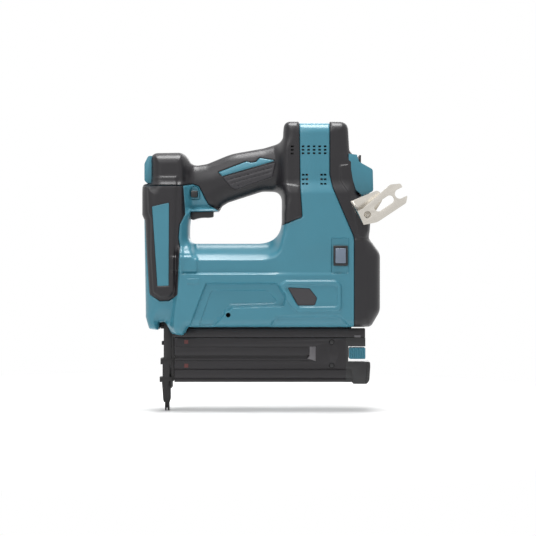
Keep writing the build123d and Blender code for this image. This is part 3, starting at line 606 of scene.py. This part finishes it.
def finish(name, look):
    material = bpy.data.materials.new(name)
    material.use_nodes = True
    nodes, links = material.node_tree.nodes, material.node_tree.links
    shader = nodes["Principled BSDF"]
    shader.inputs["Metallic"].default_value = look.get("metal", 0)
    shader.inputs["Specular IOR Level"].default_value = look.get("specular", 0.5)
    shader.inputs["Coat Weight"].default_value = look.get("coat", 0)
    shader.inputs["Coat Roughness"].default_value = look.get("coatRough", 0.2)
    shader.inputs["Sheen Weight"].default_value = look.get("sheen", 0)
    shader.inputs["Sheen Roughness"].default_value = 0.4
    brushed = "stretch" in look
    effect = nodes.new('ShaderNodeGroup')
    effect.node_tree = brushedGroup if brushed else grainGroup
    effect.inputs["Colour"].default_value = (*look["colour"], 1)
    effect.inputs["Rough"].default_value = look["rough"]
    effect.inputs["Spread"].default_value = look.get("spread", 0.08)
    effect.inputs["Depth"].default_value = look.get("depth", 0.1)
    effect.inputs["Tone"].default_value = look.get("tone", 0.08)
    if brushed:
        effect.inputs["Stretch"].default_value = look["stretch"]
    else:
        effect.inputs["Size"].default_value = look.get("size", 900)
    links.new(effect.outputs["Colour"], shader.inputs["Base Color"])
    links.new(effect.outputs["Rough"], shader.inputs["Roughness"])
    links.new(effect.outputs["Normal"], shader.inputs["Normal"])
    return material


finishes = {
    "tealPlastic": {"colour": (0.042, 0.186, 0.25), "rough": 0.33, "depth": 0.10, "size": 1100, "tone": 0.06},
    "charcoalElastomer": {"colour": (0.009, 0.008, 0.010), "specular": 0.42, "rough": 0.38, "depth": 0.16,
                          "size": 1500, "tone": 0.12},
    "padElastomer": {"colour": (0.026, 0.024, 0.028), "rough": 0.55, "depth": 0.25, "size": 1500,
                     "tone": 0.12},
    "blackPlastic": {"colour": (0.008, 0.008, 0.009), "rough": 0.32, "depth": 0.12, "size": 1200},
    "blackSteel": {"colour": (0.013, 0.012, 0.0125), "specular": 0.4, "rough": 0.34, "metal": 0.25,
                   "depth": 0.12, "size": 1600},
    "blackAnodised": {"colour": (0.018, 0.0165, 0.0185), "specular": 0.42, "rough": 0.32, "metal": 0.25,
                      "spread": 0.14, "stretch": (30, 1500, 1500), "depth": 0.06},
    # pale grey: a painted highlight on the magazine's band ends, and the colour of the rail's catch tabs
    "paleGreyAndPaintedHighlight": {"colour": (0.11, 0.105, 0.112), "rough": 0.36, "metal": 0.2, "depth": 0.06},
    "nickelSteel": {"colour": (0.58, 0.55, 0.5), "rough": 0.24, "metal": 1.0, "spread": 0.12,
                    "stretch": (500, 500, 1200), "depth": 0.05},
    "plainSteel": {"colour": (0.52, 0.52, 0.53), "rough": 0.32, "metal": 1.0, "stretch": (900, 900, 120)},
    "castAluminium": {"colour": (0.6, 0.6, 0.62), "rough": 0.42, "metal": 1.0, "size": 1300, "depth": 0.2},
    "softRubber": {"colour": (0.02, 0.02, 0.021), "rough": 0.7, "size": 1300, "depth": 0.2},
    "redMark": {"colour": (0.085, 0.012, 0.011), "rough": 0.35},
    "smokeButton": {"colour": (0.12, 0.155, 0.21), "rough": 0.22, "coat": 0.4, "depth": 0.04},
    "contactBrass": {"colour": (0.72, 0.52, 0.22), "rough": 0.28, "metal": 1.0, "stretch": (900, 900, 200)},
    "greenBoard": {"colour": (0.015, 0.11, 0.05), "rough": 0.4},
    "copperWinding": {"colour": (0.5, 0.2, 0.08), "rough": 0.35, "metal": 0.8, "stretch": (1500, 1500, 300)},
}
materials = {name: finish(name, look) for name, look in finishes.items()}
slotFinish = {
    "teal_plastic": "tealPlastic", "grip_elastomer": "charcoalElastomer",
    "grip_pad_elastomer": "padElastomer",
    "black_plastic": "blackPlastic", "black_oxide_steel": "blackSteel", "steel": "plainSteel",
    "nickel_steel": "nickelSteel", "anodised_aluminium": "blackAnodised", "aluminium": "castAluminium",
    "bumper_rubber": "softRubber", "red_plastic": "redMark", "smoke_plastic": "smokeButton",
    "brass": "contactBrass", "board": "greenBoard", "copper_winding": "copperWinding",
}
slotOf = {entry["node"]: entry["material_slot"] for entry in frame["record"]["subparts"]}
for nodeName, nodeObject in frame["nodes"].items():
    nodeObject.data.materials.clear()
    nodeObject.data.materials.append(materials[slotFinish[slotOf[nodeName]]])
print("finishes made and given to the CAD nodes")


def dress(piece, body, node, also=(), look=None):
    # gives a new piece its finish, its body and the CAD nodes that it stands for
    slotName = slotOf[node]
    piece.data.materials.clear()
    piece.data.materials.append(materials[look or slotFinish[slotName]])
    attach(piece, body)
    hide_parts(node, *also)
    return piece


# casing pieces and the CAD nodes that they stand for
shellNodes = {
    "housing": "housing_{}", "grip": "grip_{}", "cylinderCover": "cylinder_cover_{}",
    "rearCover": "rear_cover_{}",
    "nameplate": "nameplates", "gripAccent": "grip_accents", "gripPad": "grip_pads", "sidePad": "side_pads",
}
for side in ("left", "right"):
    for name, piece in casingSide(side).items():
        thicken(piece, casing["skin"])
        smoothByAngle(piece, 40)
        dress(piece, "tool", shellNodes[name].format(side))
    print("casing, " + side + " side made")


magazine = {
    "half": 9.5, "bottom": 29.5, "top": 75.2, "front": 7.7, "rear": 184.0, "corner": 1.2,
    "grooves": (42.6, 33.1), "grooveWidth": 0.75, "grooveDepth": 1.3,
    "slot": (-1.2, 7.0, 33.0),  # y from, y to, and floor of the channel that the nails lie in
    "band": (50.9, 66.2), "bandEnd": (145.5, 153.2), "bandDepth": 1.1,
    "deepBand": (53.8, 57.2), "deepDepth": 5.0, "deepRight": 1.7,  # its depth on each side
    "lip": (51.2, 52.1), "topLine": (65.2, 66.2),
    "windows": ((19.9, 70.9), (19.9, 46.4)), "windowHalf": 2,
    "rivets": ((169.6, 70.7), (169.6, 46.6)), "rivetSeat": 2.75, "easing": 0.3,
}


def magazineSection():
    half, bottom, top, corner = magazine["half"], magazine["bottom"], magazine["top"], magazine["corner"]
    width, depth = magazine["grooveWidth"], magazine["grooveDepth"]
    y0, y1, floorZ = magazine["slot"]
    right = [(half, bottom, corner)]
    for z in reversed(magazine["grooves"]):
        right += [(half, z - width), (half - depth, z - width * 0.4), (half - depth, z + width * 0.4),
                  (half, z + width)]
    right += [(half, top, 0.8)]
    left = [(-p[0], *p[1:]) for p in reversed(right)]
    return right + [(y1, top, 0.3), (y1, floorZ), (y0, floorZ), (y0, top, 0.3)] + left


def bandCutters(side):
    # a long sunk band with a sloped end, a deep groove in it and a thin line below
    half = magazine["half"]
    front, (end, rise) = magazine["front"] - 5, magazine["bandEnd"]
    out = half + 4
    deep = magazine["deepDepth"] if side < 0 else magazine["deepRight"]
    cutters = []
    for name, (z0, z1), depth, x1, x2 in (
            ("band", magazine["band"], magazine["bandDepth"], rise, rise),
            ("deepBand", magazine["deepBand"], deep, end - 0.5, end + 1.5),
            ("thinLine", magazine["lip"], magazine["bandDepth"] + 1.0, end - 0.5, end + 0.5),
            ("topLine", magazine["topLine"], magazine["bandDepth"] + 0.8, end - 0.5, end + 0.5)):
        corners = [(front, half - depth), (x1, half - depth), (x2, half), (x2, out), (front, out)]
        cutters.append(prism(name, [(x, y * side) for x, y in corners], z0, z1, "z"))
    return cutters


cover = prism("magazineCover", magazineSection(), magazine["front"], magazine["rear"], "x")
carve(cover, *bandCutters(-1), *bandCutters(1))
for x, z in magazine["windows"]:
    reach = magazine["windowHalf"]
    carve(cover, prism("windowHole", box2(x - reach, x + reach, z - reach, z + reach), -12, -8.6))
for x, z in magazine["rivets"]:
    carve(cover, rod("rivetSeat", -12, -8.2, magazine["rivetSeat"], (x, z), 24))
easeEdges(cover, magazine["easing"])
dress(cover, "magazine_cover", "magazine_cover")
for side, label in ((-1, "Left"), (1, "Right")):  # paler sloped ends of the bands, a painted highlight where the slopes face the light
    end, rise = magazine["bandEnd"]
    inner, outer = magazine["half"] - magazine["bandDepth"] - 0.3, magazine["half"] - 0.15
    z0, z1 = magazine["band"]
    bandEnd = prism("bandEnd" + label, [(end + 1.4, z1 - 0.1), (end + 1.2, z0 + 6), (end - 1, z0 + 2.5),
                                        (end + 2, z0 + 2), (rise - 0.1, z0 + 0.1), (rise - 0.1, z1 - 0.1)],
                    *sorted((inner * side, outer * side)))
    dress(easeEdges(bandEnd, magazine["easing"]), "magazine_cover", "magazine_cover", look="paleGreyAndPaintedHighlight")

lever = {"x": (187.5, 204.3), "z": (53.2, 65.0), "half": 9.2, "ribs": 8, "ribDepth": 0.9}
(leverX0, leverX1), (leverZ0, leverZ1) = lever["x"], lever["z"]
latch = prism("latchLever", [(leverX0, leverZ0, 1.5), (leverX1, leverZ0, 1.2), (leverX1, leverZ1, 1.2),
                             (leverX0, leverZ1, 1.5)], -lever["half"], lever["half"])
ribRun = (leverX1 - leverX0 - 2) / lever["ribs"]
for k in range(lever["ribs"]):  # finger grooves, cut in a v
    x = leverX0 + 1 + ribRun * (k + 0.5)
    wide = ribRun * 0.46
    for side in (-1, 1):
        top = lever["half"] + 0.02
        carve(latch, prism("groove", [(x - wide, (top + 0.3) * side), (x + wide, (top + 0.3) * side),
                                      (x, (top - lever["ribDepth"]) * side)], leverZ0 - 1, leverZ1 + 1, "z"))
easeEdges(latch, 0.12, 1)
dress(latch, "latch_lever", "latch_lever")

rearBlock = {  # the magazine's rear end, with grooves on both sides
    "lower": [(184, 29.5), (190.4, 29.5, 1), (191.8, 27.6, 1), (205.6, 27.6, 2), (208.3, 31, 3),
              (209.3, 46, 3), (209.0, 50.4, 1.5), (184, 50.4, 0.4)],
    "upper": box2(184, 204.2, 66.2, 75.2, 0.5), "web": box2(184, 186.6, 45, 70),
    "grooves": {
        "longGroove": box2(183, 189.8, 41.8, 43.3),
        "lowGroove": box2(183, 190.8, 32.4, 33.8),
        "slantGroove": [(188.7, 43.3), (189.9, 43.3), (192.7, 26), (191.5, 26)],
        "rearGroove": [(203.6, 26), (204.4, 26), (206.2, 41), (206.2, 51), (205.4, 51), (205.4, 41)],
    },
    "grooveDepth": 1.1, "inset": 0.05, "easing": 0.45,
}
half = magazine["half"] - rearBlock["inset"]
block = prism("magazineBlock", rearBlock["lower"], -half, half)
carve(block, prism("upperBlock", rearBlock["upper"], -half, half),
      prism("web", rearBlock["web"], -half, half), join=True)
for side in (-1, 1):
    y0, y1 = sorted(((half - rearBlock["grooveDepth"]) * side, (half + 2) * side))
    carve(block, *[prism(name, corners, y0, y1) for name, corners in rearBlock["grooves"].items()])
dress(easeEdges(block, rearBlock["easing"], 3), "magazine_cover", "magazine_block")

railAdds = {  # a pad along the rail's top, and a tab on each side of its rear
    "pad": box2(19.5, 184, 84.2, 87.0), "padHalf": 7.2,
    "tab": box2(192.8, 199.3, 75.5, 77.9, 0.3), "tabDepth": (8.4, 9.35),
}
rail = cleanCopy("magazine_rail")
carve(rail, prism("railPad", railAdds["pad"], -railAdds["padHalf"], railAdds["padHalf"]), join=True)
dress(easeEdges(rail, 0.3), "tool", "magazine_rail")
for side, label in ((-1, "Left"), (1, "Right")):
    catchTab = prism("catchTab" + label, railAdds["tab"], *sorted(y * side for y in railAdds["tabDepth"]))
    dress(easeEdges(catchTab, 0.2), "tool", "magazine_rail", look="paleGreyAndPaintedHighlight")
print("magazine made")


# pieces that keep the CAD shape, and how far their edges are eased
easedNodes = {
    "nose_plate": 0.5, "nose_screws": 0.25,
    "contact_arm": 0.6, "contact_tip": 0.5, "depth_wheel": 0.08, "front_strip": 0.8, "battery_mount": 0.8,
    "terminal_block": 0.4, "power_switch_frame": 0.25, "power_button": 0.5, "hook": 0.3, "hook_screw": 0.25,
    "lock_button": 0.6, "trigger": 1.1, "magazine_rivets": 0.25, "housing_screws": 0.25,
}
# lips behind the driver guide close the gap to the magazine
guideLips = {"side": box2(4.3, 7.3, 31, 75), "left": (-6.6, -2.6), "right": (4.5, 6.6)}
guide = cleanCopy("driver_guide")
carve(guide, prism("guideLipLeft", guideLips["side"], *guideLips["left"]),
      prism("guideLipRight", guideLips["side"], *guideLips["right"]), join=True)
dress(easeEdges(guide, 0.25), "tool", "driver_guide")
bodyOf = {node: name for name, nodes in frame["record"]["behaviour"]["bodies"].items() for node in nodes}
for node, width in easedNodes.items():
    look = {"magazine_rivets": "blackPlastic", "trigger": "blackPlastic"}.get(node)
    dress(easeEdges(cleanCopy(node), width, 3 if width > 0.5 else 2), bodyOf[node], node, look=look)
print("eased pieces made")

springs = {  # joint, axis it shortens along, its fixed end and how much it shortens, in metres
    "trigger_spring": ("trigger_pull", 2, 0.2192, 0.005),
    "contact_spring": ("contact_arm_slide", 2, 0.142, 0.008),
    "pusher_spring": ("pusher_slide", 0, 0.172, 0.1265),
}
for node, (joint, axis, fixedEnd, closing) in springs.items():
    spring = dress(cleanCopy(node), bodyOf[node], node)
    smoothByAngle(spring, 50)
    nearEnd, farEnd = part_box(node)
    along, anchor = [0, 0, 0], [(a + b) / 2 for a, b in zip(nearEnd, farEnd)]
    along[axis], anchor[axis] = 1, fixedEnd
    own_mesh(spring)

# the bolt that holds the nose's front, below the casing
bolt = {"at": (-5.4, 88.3), "half": 6.2, "radius": 2.7, "washerHalf": 5.2, "washerRadius": 3.3}
noseBolt = rod("noseBolt", -bolt["half"], bolt["half"], bolt["radius"], bolt["at"], 6)
washer = rod("washer", -bolt["washerHalf"], bolt["washerHalf"], bolt["washerRadius"], bolt["at"])
carve(noseBolt, washer, join=True)
dress(easeEdges(noseBolt, 0.3), "tool", "nose_screws")

tray = {"side": box2(197.0, 198.8, 182.0, 262.0), "half": 25.5}  # floor of the battery channel
channelTray = prism("channelTray", tray["side"], -tray["half"], tray["half"])
easeEdges(channelTray, 0.3)
dress(channelTray, "tool", "housing_left", look="blackPlastic")

ventShadeSheets = {"gauze": box2(126, 165, 261, 273), "gauzeLow": box2(137, 165, 230, 244)}  # dark sheets behind the air slots, painted shade in place of the tool's shaded inside
ventShadeSheetDepth = (24.5, 25.1)
for side, label in ((-1, "Left"), (1, "Right")):
    for name, corners in ventShadeSheets.items():
        # each sheet is black only as painted shade inside the slots
        gauze = prism(name + label, corners, *sorted(y * side for y in ventShadeSheetDepth))
        dress(easeEdges(gauze, 0.1), "tool", "housing_" + label.lower(), look="blackPlastic")
print("springs, nose bolt, tray and gauze made")


studio = {
    "viewWidth": 0.552, "distance": 1.6, "lens": 100, "lookAt": (0.104, 0.1469), "facePlane": -0.008,
    "aim": (0.1, 0, 0.15),
    "lamps": {  # power, size and place
        "keyLamp": (7.5, 0.9, (-0.5, -1.1, 1.0)),
        "fillLamp": (1.0, 1.4, (1.1, -1.0, 0.5)),
        "topLamp": (19, 0.6, (0.1, -0.06, 1.25)),
        "rimLamp": (5, 0.8, (0.5, 1.2, 0.7)),
    },
    "floorSize": 30, "floorLevel": -0.0005, "floorTone": 0.93, "floorRough": 0.8,
    "fade": (0.3, 0.6),  # distances between which the floor turns to the backdrop's white
    "ambient": 0.3,
}


def softLamp(name, power, size, place):
    lamp = bpy.data.lights.new(name, 'AREA')
    lamp.energy, lamp.size = power, size
    lampObject = bpy.data.objects.new(name, lamp)
    bpy.context.scene.collection.objects.link(lampObject)
    lampObject.location = place
    lampObject.rotation_euler = (Vector(studio["aim"]) - Vector(place)).to_track_quat('-Z', 'Y').to_euler()


def larger(nodes, links, first, second):
    # the larger of two values
    node = nodes.new('ShaderNodeMath')
    node.operation = 'MAXIMUM'
    links.new(first, node.inputs[0])
    links.new(second, node.inputs[1])
    return node.outputs[0]


def floorFinish():
    # plain near the object, and white far off for the camera and for reflections
    material = bpy.data.materials.new("paleFloor")
    material.use_nodes = True
    nodes, links = material.node_tree.nodes, material.node_tree.links
    plain = nodes["Principled BSDF"]
    plain.inputs["Base Color"].default_value = (*[studio["floorTone"]] * 3, 1)
    plain.inputs["Roughness"].default_value = studio["floorRough"]
    where = nodes.new('ShaderNodeTexCoord')
    reach = nodes.new('ShaderNodeVectorMath')
    reach.operation = 'LENGTH'
    fade = nodes.new('ShaderNodeMapRange')
    fade.interpolation_type = 'SMOOTHSTEP'
    fade.inputs["From Min"].default_value, fade.inputs["From Max"].default_value = studio["fade"]
    paths = nodes.new('ShaderNodeLightPath')
    share = nodes.new('ShaderNodeMath')
    share.operation = 'MULTIPLY'
    white = nodes.new('ShaderNodeEmission')
    choose = nodes.new('ShaderNodeMixShader')
    links.new(where.outputs["Object"], reach.inputs[0])
    links.new(reach.outputs["Value"], fade.inputs["Value"])
    links.new(fade.outputs[0], share.inputs[0])
    cameraOrGloss = larger(nodes, links, paths.outputs["Is Camera Ray"], paths.outputs["Is Glossy Ray"])
    links.new(cameraOrGloss, share.inputs[1])
    links.new(share.outputs[0], choose.inputs["Fac"])
    links.new(plain.outputs[0], choose.inputs[1])
    links.new(white.outputs[0], choose.inputs[2])
    links.new(choose.outputs[0], nodes["Material Output"].inputs["Surface"])
    return material


def backdrop(nodes, strength):
    node = nodes.new('ShaderNodeBackground')
    node.inputs["Color"].default_value = (1, 1, 1, 1)
    node.inputs["Strength"].default_value = strength
    return node


def studioWorld():
    # a weak even light, seen as white by the camera, in reflections and through glass
    world = bpy.data.worlds.new("studioWorld")
    world.use_nodes = True
    nodes, links = world.node_tree.nodes, world.node_tree.links
    nodes.clear()
    output = nodes.new('ShaderNodeOutputWorld')
    ambient, seen = backdrop(nodes, studio["ambient"]), backdrop(nodes, 1)
    paths = nodes.new('ShaderNodeLightPath')
    choose = nodes.new('ShaderNodeMixShader')
    cameraOrGloss = larger(nodes, links, paths.outputs["Is Camera Ray"], paths.outputs["Is Glossy Ray"])
    links.new(larger(nodes, links, cameraOrGloss, paths.outputs["Is Transmission Ray"]), choose.inputs["Fac"])
    links.new(ambient.outputs[0], choose.inputs[1])
    links.new(seen.outputs[0], choose.inputs[2])
    links.new(choose.outputs[0], output.inputs["Surface"])
    return world


for name, lampValues in studio["lamps"].items():
    softLamp(name, *lampValues)

bpy.ops.object.select_all(action='DESELECT')
bpy.ops.mesh.primitive_plane_add(size=studio["floorSize"], location=(0, 0, studio["floorLevel"]))
floor = bpy.context.active_object
floor.name = "floor"
floor.data.materials.append(floorFinish())

scene = bpy.context.scene
scene.view_settings.view_transform = 'Standard'
scene.world = studioWorld()

cameraData = bpy.data.cameras.new("camera")
camera = bpy.data.objects.new("camera", cameraData)
scene.collection.objects.link(camera)
scene.camera = camera
cameraData.lens = studio["lens"]
cameraData.sensor_width = studio["viewWidth"] * studio["lens"] / studio["distance"]
camera.location = (studio["lookAt"][0], studio["facePlane"] - studio["distance"], studio["lookAt"][1])
camera.rotation_euler = (math.radians(90), 0, 0)
print("floor, lamps, world and camera made")
